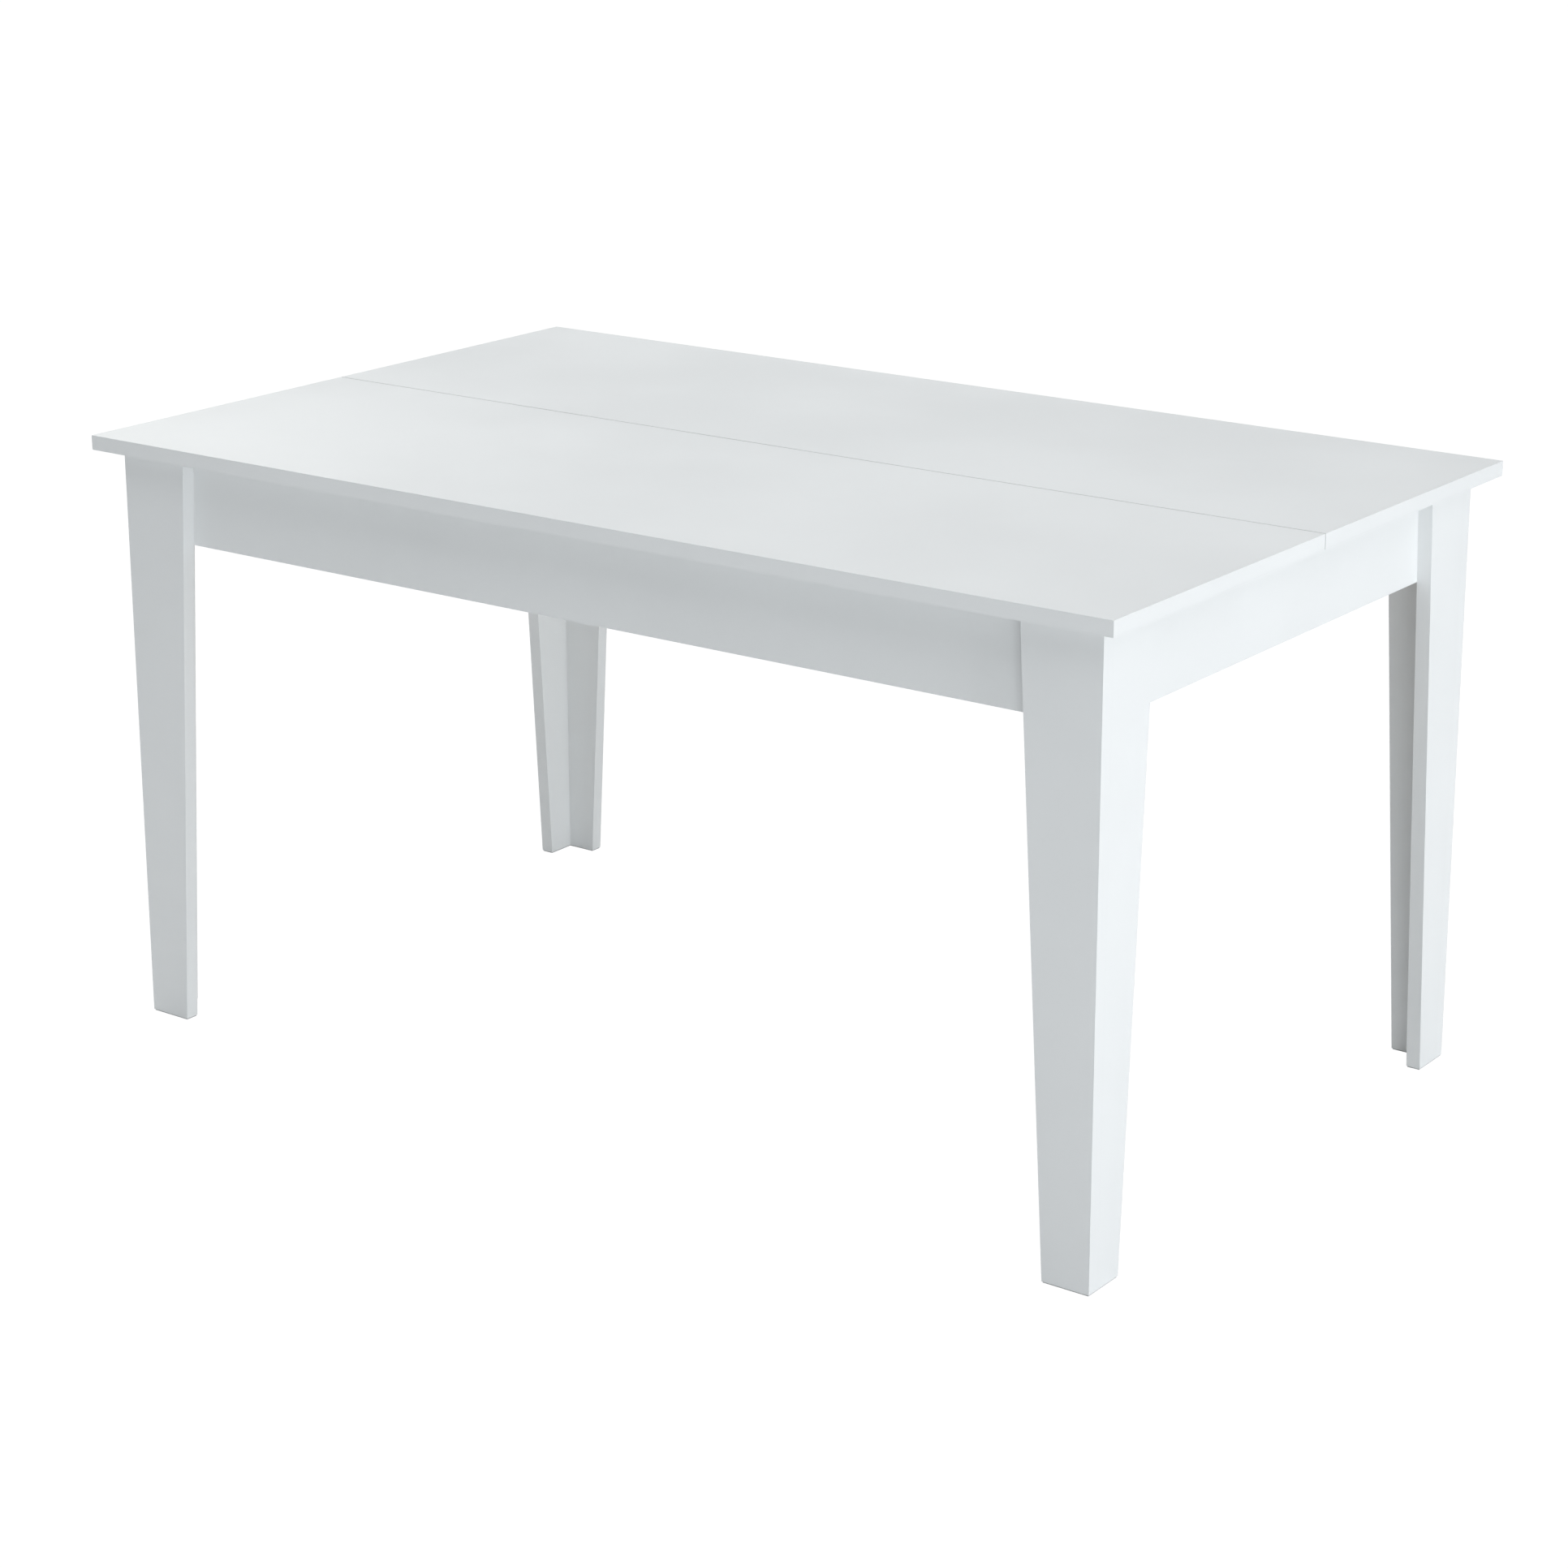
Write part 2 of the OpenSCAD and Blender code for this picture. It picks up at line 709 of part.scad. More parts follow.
// Lever drawn along X from its pivot, its hook open towards the split
module lock_lever(sx) {
    hook_w = lock_stud_d + lock_hook_play;
    color(zinc) translate([sx * lock_x, lock_pivot_y, lock_lever_z]) mirror([sx == right ? 1 : 0, 0, 0])
        difference() {
            union() {
                cylinder(h = lock_t, d = lock_w);
                block([0, -lock_w / 2, 0], [lock_reach + lock_w / 2, lock_w / 2, lock_t]);
                block([-lock_tail, -lock_w / 4, 0], [0, lock_w / 4, lock_t]);
            }
            translate([0, 0, -cut]) cylinder(h = lock_t + 2 * cut, d = lock_stud_d + 2 * running_fit);
            translate([0, 0, -cut]) linear_extrude(lock_t + 2 * cut)
                translate([lock_reach - hook_w / 2, -hook_w / 2]) square([hook_w, lock_w]);
        }
}

// ---- Insert, folded in its store ----

// Sockets and pins of an insert half, as distances from its hinged edge
module insert_edge_places(sy, z) {
    for (x = pin_xs) translate([insert_half_l - x, sy * insert_half_w, z]) children();
}

module insert_half(z) {
    color(board_white) difference() {
        block([-insert_half_l, -insert_half_w, z], [insert_half_l, insert_half_w, z + insert_t]);
        insert_edge_places(front, z + insert_t / 2) rotate([-90, 0, 0]) translate([0, 0, -cut])
            cylinder(h = pin_reach + cut + 1, d = pin_d + 2 * socket_gap);
        insert_edge_places(rear, z + insert_t / 2) rotate([90, 0, 0]) translate([0, 0, -cut])
            cylinder(h = pin_seat + cut, d = pin_d + 2 * fixed_fit);
        hinge_screw_places() screw_hole(hinge_screw_l, hinge_screw_d);
    }
}

module insert_pins() {
    color(bare_wood) for (z = [insert_z, insert_top_z - insert_t])
        insert_edge_places(rear, z + insert_t / 2) rotate([90, 0, 0]) translate([0, 0, -pin_reach])
            cylinder(h = pin_reach + pin_seat, d = pin_d);
}

// Screws of the lower plates point down, and those of the upper plates point up
module hinge_screw_places() {
    for (y = hinge_ys, dy = [-hinge_l / 3, hinge_l / 3], up = [0, 1])
        translate([hinge_edge_x - hinge_w / 2, y + dy, insert_mid_z]) rotate([180 * up, 0, 0])
            translate([0, 0, -insert_fold / 2 + hinge_t]) children();
}

module insert_hinge_screws() {
    color(zinc) hinge_screw_places() screw(hinge_screw_l, hinge_screw_d, hinge_head_d, hinge_head_h);
}

// One plate with its knuckles, lying on the lower half; starts lists each knuckle's place along the hinge
module hinge_plate(starts) {
    for (y = hinge_ys) translate([0, y - hinge_l / 2, 0]) difference() {
        union() {
            block([hinge_edge_x - hinge_w, 0, -insert_fold / 2], [hinge_edge_x, hinge_l, hinge_t - insert_fold / 2]);
            for (s = starts) translate([insert_half_l, s, 0]) rotate([-90, 0, 0])
                cylinder(h = knuckle_l, r = knuckle_r);
        }
        for (s = [0 : 2]) if (len(search(s * (knuckle_l + hinge_gap), starts)) == 0)
            block([hinge_edge_x - 3, s * (knuckle_l + hinge_gap) - hinge_gap, -insert_fold],
                  [hinge_edge_x + cut, (s + 1) * (knuckle_l + hinge_gap), insert_fold]);
        translate([insert_half_l, -cut, 0]) rotate([-90, 0, 0])
            cylinder(h = hinge_l + 2 * cut, d = hinge_pin_d + 2 * fixed_fit);
        for (dy = [hinge_l / 6, hinge_l * 5 / 6])
            translate([hinge_edge_x - hinge_w / 2, dy, hinge_t - insert_fold / 2])
                screw_hole(hinge_screw_l, hinge_screw_d);
    }
}

outer_knuckles = [0, 2 * (knuckle_l + hinge_gap)];
middle_knuckle = [knuckle_l + hinge_gap];

module insert_lower_hinge_plates() {
    color(zinc) translate([0, 0, insert_mid_z]) hinge_plate(outer_knuckles);
}

module insert_upper_hinge_plates() {
    color(zinc) translate([0, 0, insert_mid_z]) mirror([0, 0, 1]) hinge_plate(middle_knuckle);
}

module insert_hinge_pins() {
    color(zinc) for (y = hinge_ys) translate([insert_half_l, y - hinge_l / 2, insert_mid_z])
        rotate([-90, 0, 0]) cylinder(h = hinge_l, d = hinge_pin_d);
}

// ---- Nodes ----

leaf(front);  // front_leaf
leaf(rear);  // rear_leaf
long_apron(front);  // front_apron
long_apron(rear);  // rear_apron
side_apron(left);  // left_apron
side_apron(right);  // right_apron
leg_face(left, front);  // front_left_leg_face
leg_side(left, front);  // front_left_leg_side
leg_face(right, front);  // front_right_leg_face
leg_side(right, front);  // front_right_leg_side
leg_face(left, rear);  // rear_left_leg_face
leg_side(left, rear);  // rear_left_leg_side
leg_face(right, rear);  // rear_right_leg_face
leg_side(right, rear);  // rear_right_leg_side
corner_block(left, front);  // front_left_corner_block
corner_block(right, front);  // front_right_corner_block
corner_block(left, rear);  // rear_left_corner_block
corner_block(right, rear);  // rear_right_corner_block
leg_bolts();
leg_glides();
rail_bearer(left);  // left_rail_bearer
rail_bearer(right);  // right_rail_bearer
rail_channel(left);  // left_rail_channel
rail_channel(right);  // right_rail_channel
insert_bearer(left);  // left_insert_bearer
insert_bearer(right);  // right_insert_bearer
bearer_brackets();
bracket_screws();
channel_screws();
pinion_axles();
axle_clips();
pinion(left);  // left_pinion
pinion(right);  // right_pinion
travel_buffers();
slide_pads();
runner(left, front);  // left_front_runner
runner(right, front);  // right_front_runner
runner(left, rear);  // left_rear_runner
runner(right, rear);  // right_rear_runner
rack(left, front);  // left_front_rack
rack(right, front);  // right_front_rack
rack(left, rear);  // left_rear_rack
rack(right, rear);  // right_rear_rack
batten(front);  // front_batten
batten(rear);  // rear_batten
leaf_screws(front);  // front_leaf_screws
leaf_screws(rear);  // rear_leaf_screws
leaf_pins();
lock_plates();
lock_keepers();
lock_lever(left);  // left_lock_lever
lock_lever(right);  // right_lock_lever
insert_half(insert_z);  // insert_lower_half
insert_half(insert_top_z - insert_t);  // insert_upper_half
insert_pins();
insert_lower_hinge_plates();
insert_upper_hinge_plates();
insert_hinge_pins();
insert_hinge_screws();
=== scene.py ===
import json
import math

import bmesh
import bpy
from bpy.props import FloatProperty, FloatVectorProperty, PointerProperty
from mathutils import Matrix, Vector

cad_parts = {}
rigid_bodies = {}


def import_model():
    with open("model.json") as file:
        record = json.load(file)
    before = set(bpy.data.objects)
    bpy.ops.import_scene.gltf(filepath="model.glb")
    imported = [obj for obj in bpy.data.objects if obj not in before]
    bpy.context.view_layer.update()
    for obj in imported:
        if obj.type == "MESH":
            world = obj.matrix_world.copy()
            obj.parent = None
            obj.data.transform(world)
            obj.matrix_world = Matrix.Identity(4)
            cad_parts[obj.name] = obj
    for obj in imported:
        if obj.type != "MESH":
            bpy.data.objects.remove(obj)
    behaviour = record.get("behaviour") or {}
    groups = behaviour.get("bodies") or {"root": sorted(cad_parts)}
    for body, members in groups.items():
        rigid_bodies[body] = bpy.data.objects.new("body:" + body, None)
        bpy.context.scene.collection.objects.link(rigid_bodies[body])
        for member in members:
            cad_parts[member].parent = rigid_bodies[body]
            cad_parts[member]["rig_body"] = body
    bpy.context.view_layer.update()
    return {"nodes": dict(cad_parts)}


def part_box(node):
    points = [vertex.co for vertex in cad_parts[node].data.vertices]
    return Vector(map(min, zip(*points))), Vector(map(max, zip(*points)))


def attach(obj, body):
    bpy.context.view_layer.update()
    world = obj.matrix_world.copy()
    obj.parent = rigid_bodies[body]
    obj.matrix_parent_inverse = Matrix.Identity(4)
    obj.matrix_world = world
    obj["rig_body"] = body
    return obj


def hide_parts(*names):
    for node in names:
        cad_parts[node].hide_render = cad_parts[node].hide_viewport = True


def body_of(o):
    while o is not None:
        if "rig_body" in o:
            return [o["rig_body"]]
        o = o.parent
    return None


bl_info = {
    "name": "Extendable dining table",
    "version": (1, 0, 0),
    "blender": (4, 5, 0),
    "location": "3D View > Sidebar > Table",
    "description": "Finishes, fasteners and studio for a white dining table whose leaves slide apart",
    "category": "Object",
}

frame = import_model()
MM = 0.001

# ---- Finishes ----

GREY_DUST = (0.5, 0.5, 0.5, 1.0)
WARM_DUST = (0.6, 0.58, 0.55, 1.0)
DULL_DUST = (0.45, 0.44, 0.42, 1.0)
RUBBER_BLACK = (0.022, 0.022, 0.023)
PLASTIC_GREY = (0.42, 0.43, 0.43)
TIMBER_EDGE = 0.6 * MM
RUBBER_EDGE = 0.5 * MM
GLIDE_EDGE = 0.3 * MM
SHARP_EDGE = math.radians(40)
SHARP_CREASE = math.radians(35)
# Width of the hairline of the edging, and how many of its thicknesses the wear reaches in
SEAM_WIDTH = 0.12 * MM
WEAR_REACH = 2.5
# The part of the cloud noise that shows in tone and gloss
CLOUD_LOW, CLOUD_HIGH = 0.3, 0.7

# ---- Studio ----

CAMERA_PLACE = (2.48246, -3.372, 1.68445)
CAMERA_DOWN = math.radians(15.9)
CAMERA_TURN = math.radians(36.0)
CAMERA_SHIFT = (-0.0155, -0.0821)
SENSOR_WIDTH = 36.0
VIEW_LIMIT = 60.0
LIGHT_AIM = Vector((0.0, 0.0, 0.5))
# Name, power setting, place, width, height and colour of each light
LIGHTS = [
    ("Key light", "key", (9.0, 0.4, 3.2), 3.5, 3.5, (0.965, 0.985, 1.0)),
    ("Low key light", "low_key", (8.0, -1.0, 0.9), 3.0, 1.5, (0.965, 0.985, 1.0)),
    ("High key light", "high_key", (4.2, -0.6, 4.6), 2.2, 3.0, (0.98, 0.99, 1.0)),
    ("Near fill", "near_fill", (6.0, -6.0, 0.7), 3.0, 1.2, (0.93, 0.98, 1.0)),
    ("Front fill", "front_fill", (0.3, -2.4, 4.2), 3.6, 1.8, (0.98, 0.99, 1.0)),
    ("Top fill", "top_fill", (-1.5, 0.5, 5.5), 4.0, 4.0, (1.0, 1.0, 0.99)),
    ("Rear fill", "rear_fill", (-6.0, 3.0, 4.5), 3.5, 3.5, (1.0, 1.0, 0.96)),
]
SURROUND_COLOUR = (0.93, 0.97, 1.0, 1.0)
SURROUND_SEEN = 1.1
WHITE = (1.0, 1.0, 1.0, 1.0)
FLOOR_GREY = (0.8, 0.8, 0.8, 1.0)
FLOOR_ROUGHNESS = 0.9
FLOOR_GLOW = 1.06
FLOOR_LIFT = 0.95

# ---- Node sockets ----

FLOAT = "NodeSocketFloat"
VECTOR = "NodeSocketVector"
# Places of a Mix node's sockets when it mixes colours
MIX_FACTOR, MIX_FIRST, MIX_SECOND, MIX_RESULT = 0, 6, 7, 2

# ---- Nodes by kind ----

ENDS = ("front", "rear")
SIDES = ("left", "right")
CORNERS = [f"{end}_{side}" for end in ENDS for side in SIDES]
LEAVES = [f"{end}_leaf" for end in ENDS]
LEG_BOARDS = [f"{corner}_leg_{board}" for corner in CORNERS for board in ("face", "side")]
APRONS = ["front_apron", "rear_apron", "left_apron", "right_apron"]
INSERT_HALVES = ["insert_lower_half", "insert_upper_half"]
BLOCKS = [f"{corner}_corner_block" for corner in CORNERS]
BEARERS = [f"{side}_{kind}_bearer" for side in SIDES for kind in ("rail", "insert")]
BATTENS = ["front_batten", "rear_batten"]
PINS = ["leaf_pins", "insert_pins"]
CHANNELS = [f"{side}_rail_channel" for side in SIDES]
RUNNERS = [f"{side}_{end}_runner" for side in SIDES for end in ENDS]
RACKS = [f"{side}_{end}_rack" for side in SIDES for end in ENDS]
PINIONS = [f"{side}_pinion" for side in SIDES]
LEVERS = [f"{side}_lock_lever" for side in SIDES]
HINGES = ["insert_lower_hinge_plates", "insert_upper_hinge_plates", "insert_hinge_pins"]
WOOD_SCREWS = [
    "bracket_screws", "channel_screws", "front_leaf_screws", "rear_leaf_screws", "insert_hinge_screws"
]


# ---- Sizes and colours a user would change ----

class BoardSettings(bpy.types.PropertyGroup):
    white: FloatVectorProperty(
        name="Board white", description="Colour of the melamine faced boards",
        default=(0.80, 0.815, 0.82), size=3, min=0, max=1, subtype="COLOR")
    gloss: FloatProperty(
        name="Board roughness", description="Mean roughness of the satin board surface",
        default=0.34, min=0.05, max=1, subtype="FACTOR")
    edge_radius: FloatProperty(
        name="Edge radius", description="Radius worked on the banded edges of the boards",
        default=0.0008, min=0.0001, max=0.003, unit="LENGTH")
    band: FloatProperty(
        name="Edge band", description="Thickness of the edging glued round the boards",
        default=0.001, min=0.0004, max=0.003, unit="LENGTH")


class HardwareSettings(bpy.types.PropertyGroup):
    timber: FloatVectorProperty(
        name="Timber", description="Colour of the bare beech under the top",
        default=(0.58, 0.40, 0.22), size=3, min=0, max=1, subtype="COLOR")
    steel: FloatVectorProperty(
        name="Zinc plate", description="Colour of the zinc plated steel",
        default=(0.52, 0.54, 0.56), size=3, min=0, max=1, subtype="COLOR")
    alloy: FloatVectorProperty(
        name="Alloy", description="Colour of the anodised runners",
        default=(0.62, 0.63, 0.65), size=3, min=0, max=1, subtype="COLOR")
    nylon: FloatVectorProperty(
        name="Nylon", description="Colour of the racks, pinions and slide pads",
        default=(0.035, 0.036, 0.038), size=3, min=0, max=1, subtype="COLOR")
    edge_break: FloatProperty(
        name="Edge break", description="Small bevel on metal and plastic edges",
        default=0.0002, min=0.00005, max=0.001, unit="LENGTH")


class StudioSettings(bpy.types.PropertyGroup):
    key: FloatProperty(
        name="Key light", description="Power of the large soft light on the right",
        default=126.0, min=0, unit="POWER")
    high_key: FloatProperty(
        name="High key light", description="Power of the soft light high on the right",
        default=50.0, min=0, unit="POWER")
    low_key: FloatProperty(
        name="Low key light", description="Power of the wide light near the floor on the right",
        default=149.0, min=0, unit="POWER")
    near_fill: FloatProperty(
        name="Near fill", description="Power of the low wide light in front, on the right",
        default=119.0, min=0, unit="POWER")
    front_fill: FloatProperty(
        name="Front fill", description="Power of the wide light high in front",
        default=32.0, min=0, unit="POWER")
    top_fill: FloatProperty(
        name="Top fill", description="Power of the soft light over the table",
        default=134.0, min=0, unit="POWER")
    rear_fill: FloatProperty(
        name="Rear fill", description="Power of the soft light behind, on the left",
        default=82.0, min=0, unit="POWER")
    sky: FloatProperty(
        name="Surround", description="Strength of the even light all round", default=0.29, min=0, max=5)
    lens: FloatProperty(
        name="Lens", description="Focal length for a 36 mm wide sensor",
        default=82.14, min=20, max=200, unit="CAMERA")


# ---- Shader node helpers ----

def add_node(tree, kind, settings=None, **inputs):
    """Adds a node; settings are its properties, inputs its sockets by name, underscores for spaces."""
    made = tree.nodes.new(kind)
    for name, value in (settings or {}).items():
        setattr(made, name, value)
    for name, value in inputs.items():
        link_or_set(tree, made.inputs[name.replace("_", " ")], value)
    return made


def link_or_set(tree, socket, value):
    """Links a socket's input to another node's output, or sets it to a plain value."""
    if isinstance(value, bpy.types.NodeSocket):
        tree.links.new(value, socket)
    else:
        socket.default_value = value


def maths(tree, operation, first, second=0.0, third=0.0, clamp=False):
    """The result of one step of arithmetic on values or sockets."""
    made = add_node(tree, "ShaderNodeMath", {"operation": operation, "use_clamp": clamp})
    for socket, value in zip(made.inputs, (first, second, third)):
        link_or_set(tree, socket, value)
    return made.outputs[0]


def vector_maths(tree, operation, first, second):
    """The result of one step of arithmetic on vectors."""
    made = add_node(tree, "ShaderNodeVectorMath", {"operation": operation})
    link_or_set(tree, made.inputs[0], first)
    link_or_set(tree, made.inputs[1], second)
    return made.outputs[0]


def remap(tree, value, low, high, to_low=0.0, to_high=1.0):
    """A value eased from one range into another."""
    made = add_node(tree, "ShaderNodeMapRange", {"interpolation_type": "SMOOTHSTEP"},
                    Value=value, From_Min=low, From_Max=high, To_Min=to_low, To_Max=to_high)
    return made.outputs["Result"]


def noise(tree, vector, scale, detail=2.0, roughness=0.5):
    """Soft noise, from 0 to 1."""
    made = add_node(tree, "ShaderNodeTexNoise", None, Vector=vector, Scale=scale, Detail=detail,
                    Roughness=roughness)
    return made.outputs["Fac"]


def table_place(tree):
    """The surface point in the table's own frame, in metres."""
    return add_node(tree, "ShaderNodeTexCoord").outputs["Object"]


def new_group(name, inputs, outputs):
    """An empty node group: inputs as (name, kind, default), outputs as (name, kind)."""
    group = bpy.data.node_groups.new(name, "ShaderNodeTree")
    for socket_name, kind, default in inputs:
        socket = group.interface.new_socket(socket_name, in_out="INPUT", socket_type=kind)
        socket.default_value = default
    for socket_name, kind in outputs:
        group.interface.new_socket(socket_name, in_out="OUTPUT", socket_type=kind)
    return group, group.nodes.new("NodeGroupInput").outputs, group.nodes.new("NodeGroupOutput").inputs


# ---- Shared effects ----

def board_surface_group():
    """Fine pearl grain of pressed melamine, with faint wide clouds in tone and gloss."""
    name = "Pressed Board Surface"
    if name in bpy.data.node_groups:
        return bpy.data.node_groups[name]
    group, given, out = new_group(
        name,
        [("Grain Scale", FLOAT, 900.0), ("Cloud Scale", FLOAT, 3.5)],
        [("Cloud", FLOAT), ("Grain", FLOAT), ("Height", FLOAT)])
    place = table_place(group)
    cloud = noise(group, place, given["Cloud Scale"], detail=3.0, roughness=0.55)
    grain = noise(group, place, given["Grain Scale"], roughness=0.6)
    peel_scale = maths(group, "MULTIPLY", given["Grain Scale"], 0.17)
    peel = noise(group, place, peel_scale, detail=1.0)
    group.links.new(cloud, out["Cloud"])
    group.links.new(grain, out["Grain"])
    fine = maths(group, "MULTIPLY", grain, 0.3)
    group.links.new(maths(group, "MULTIPLY_ADD", peel, 0.7, fine), out["Height"])
    return group


def board_edge_group():
    """Distance to a board's nearest edge, from its box: a worn edge and the hairline of its edging."""
    name = "Banded Edge"
    if name in bpy.data.node_groups:
        return bpy.data.node_groups[name]
    group, given, out = new_group(
        name,
        [("Low", VECTOR, (0, 0, 0)), ("High", VECTOR, (1, 1, 1)), ("Band", FLOAT, 0.001)],
        [("Edge", FLOAT), ("Seam", FLOAT)])
    place = table_place(group)
    near = vector_maths(group, "MINIMUM", vector_maths(group, "SUBTRACT", place, given["Low"]),
                        vector_maths(group, "SUBTRACT", given["High"], place))
    split = add_node(group, "ShaderNodeSeparateXYZ", None, Vector=near)
    x, y, z = split.outputs
    low = maths(group, "MINIMUM", x, y)
    high = maths(group, "MAXIMUM", x, y)
    middle = maths(group, "MAXIMUM", low, maths(group, "MINIMUM", high, z))
    reach = maths(group, "MULTIPLY", given["Band"], WEAR_REACH)
    group.links.new(remap(group, middle, 0.0, reach, 1.0, 0.0), out["Edge"])
    off_seam = maths(group, "ABSOLUTE", maths(group, "SUBTRACT", middle, given["Band"]))
    group.links.new(remap(group, off_seam, 0.0, SEAM_WIDTH, 1.0, 0.0), out["Seam"])
    return group


def settled_dust_group():
    """Dust that lies on faces that look upwards."""
    name = "Settled Dust"
    if name in bpy.data.node_groups:
        return bpy.data.node_groups[name]
    group, given, out = new_group(name, [("Scale", FLOAT, 40.0)], [("Dust", FLOAT)])
    normal = add_node(group, "ShaderNodeNewGeometry").outputs["Normal"]
    up = add_node(group, "ShaderNodeSeparateXYZ", None, Vector=normal).outputs["Z"]
    facing = remap(group, up, 0.5, 0.95)
    spread = noise(group, table_place(group), given["Scale"], detail=4.0, roughness=0.65)
    patch = remap(group, spread, 0.35, 0.75, to_low=0.2)
    group.links.new(maths(group, "MULTIPLY", facing, patch), out["Dust"])
    return group


def timber_grain_group():
    """Beech: soft rings across the grain, short dark flecks and fine fibres along it."""
    name = "Beech Grain"
    if name in bpy.data.node_groups:
        return bpy.data.node_groups[name]
    group, given, out = new_group(
        name, [("Along", VECTOR, (1, 12, 12))],
        [("Figure", FLOAT), ("Fleck", FLOAT), ("Height", FLOAT)])
    scaled = vector_maths(group, "MULTIPLY", table_place(group), given["Along"])
    warp = noise(group, scaled, 1.2)
    rings = add_node(group, "ShaderNodeTexWave", {"wave_type": "RINGS", "rings_direction": "SPHERICAL"},
                     Vector=scaled, Scale=1.1, Distortion=3.5, Detail=3.0, Detail_Scale=1.6)
    fine = vector_maths(group, "MULTIPLY", scaled, (14, 14, 14))
    fibre = noise(group, fine, 3.0, detail=3.0, roughness=0.6)
    short = vector_maths(group, "MULTIPLY", scaled, (6, 6, 6))
    fleck = remap(group, noise(group, short, 5.0, detail=1.0), 0.60, 0.72)
    broad = maths(group, "MULTIPLY", rings.outputs["Fac"], 0.45)
    figure = maths(group, "ADD", broad, maths(group, "MULTIPLY", warp, 0.35))
    figure = maths(group, "ADD", figure, maths(group, "MULTIPLY", fibre, 0.2), clamp=True)
    group.links.new(figure, out["Figure"])
    group.links.new(fleck, out["Fleck"])
    group.links.new(maths(group, "SUBTRACT", fibre, maths(group, "MULTIPLY", fleck, 0.5)), out["Height"])
    return group


def metal_surface_group():
    """Rolled or drawn metal: fine lines along one way, and broad dull patches."""
    name = "Drawn Metal"
    if name in bpy.data.node_groups:
        return bpy.data.node_groups[name]
    group, given, out = new_group(
        name, [("Along", VECTOR, (60, 1500, 1500)), ("Patch Scale", FLOAT, 60.0)],
        [("Lines", FLOAT), ("Patches", FLOAT)])
    place = table_place(group)
    lines = noise(group, vector_maths(group, "MULTIPLY", place, given["Along"]), 1.0, roughness=0.6)
    patches = noise(group, place, given["Patch Scale"], detail=3.0, roughness=0.6)
    group.links.new(lines, out["Lines"])
    group.links.new(patches, out["Patches"])
    return group


def moulded_surface_group():
    """Spark eroded mould texture of nylon, rubber and plastic."""
    name = "Moulded Skin"
    if name in bpy.data.node_groups:
        return bpy.data.node_groups[name]
    group, given, out = new_group(
        name, [("Scale", FLOAT, 1400.0)], [("Speckle", FLOAT), ("Height", FLOAT)])
    place = table_place(group)
    fine = noise(group, place, given["Scale"], detail=3.0, roughness=0.7)
    coarse = noise(group, place, maths(group, "MULTIPLY", given["Scale"], 0.1))
    half_fine = maths(group, "MULTIPLY", fine, 0.5)
    group.links.new(maths(group, "MULTIPLY_ADD", coarse, 0.5, half_fine), out["Speckle"])
    group.links.new(fine, out["Height"])
    return group


def group_node(tree, group, **inputs):
    """Places a shared effect in a material and returns its outputs."""
    made = tree.nodes.new("ShaderNodeGroup")
    made.node_tree = group
    for name, value in inputs.items():
        link_or_set(tree, made.inputs[name.replace("_", " ")], value)
    return made.outputs


# ---- Materials ----

def new_material(name):
    """A material with a bare Principled BSDF; returns it with its tree and shader."""
    material = bpy.data.materials.new(name)
    material.use_nodes = True
    tree = material.node_tree
    tree.nodes.clear()
    shader = tree.nodes.new("ShaderNodeBsdfPrincipled")
    output = tree.nodes.new("ShaderNodeOutputMaterial")
    tree.links.new(shader.outputs["BSDF"], output.inputs["Surface"])
    return material, tree, shader


def mix_colour(tree, factor, first, second):
    """A blend of two colours, all first at 0 and all second at 1."""
    made = add_node(tree, "ShaderNodeMix", {"data_type": "RGBA"})
    link_or_set(tree, made.inputs[MIX_FACTOR], factor)
    link_or_set(tree, made.inputs[MIX_FIRST], first)
    link_or_set(tree, made.inputs[MIX_SECOND], second)
    return made.outputs[MIX_RESULT]


def tint(tree, tone, mask, amount, colour):
    """The tone with a share of another colour laid over it where the mask is."""
    return mix_colour(tree, maths(tree, "MULTIPLY", mask, amount), tone, colour)


def shade(colour, factor):
    """A colour made lighter or darker, with its alpha added."""
    return (colour[0] * factor, colour[1] * factor, colour[2] * factor, 1.0)


def bump(tree, shader, height, strength, distance):
    """Gives the shader a fine relief, distance deep in metres."""
    made = add_node(tree, "ShaderNodeBump", None, Strength=strength, Distance=distance, Height=height)
    tree.links.new(made.outputs["Normal"], shader.inputs["Normal"])


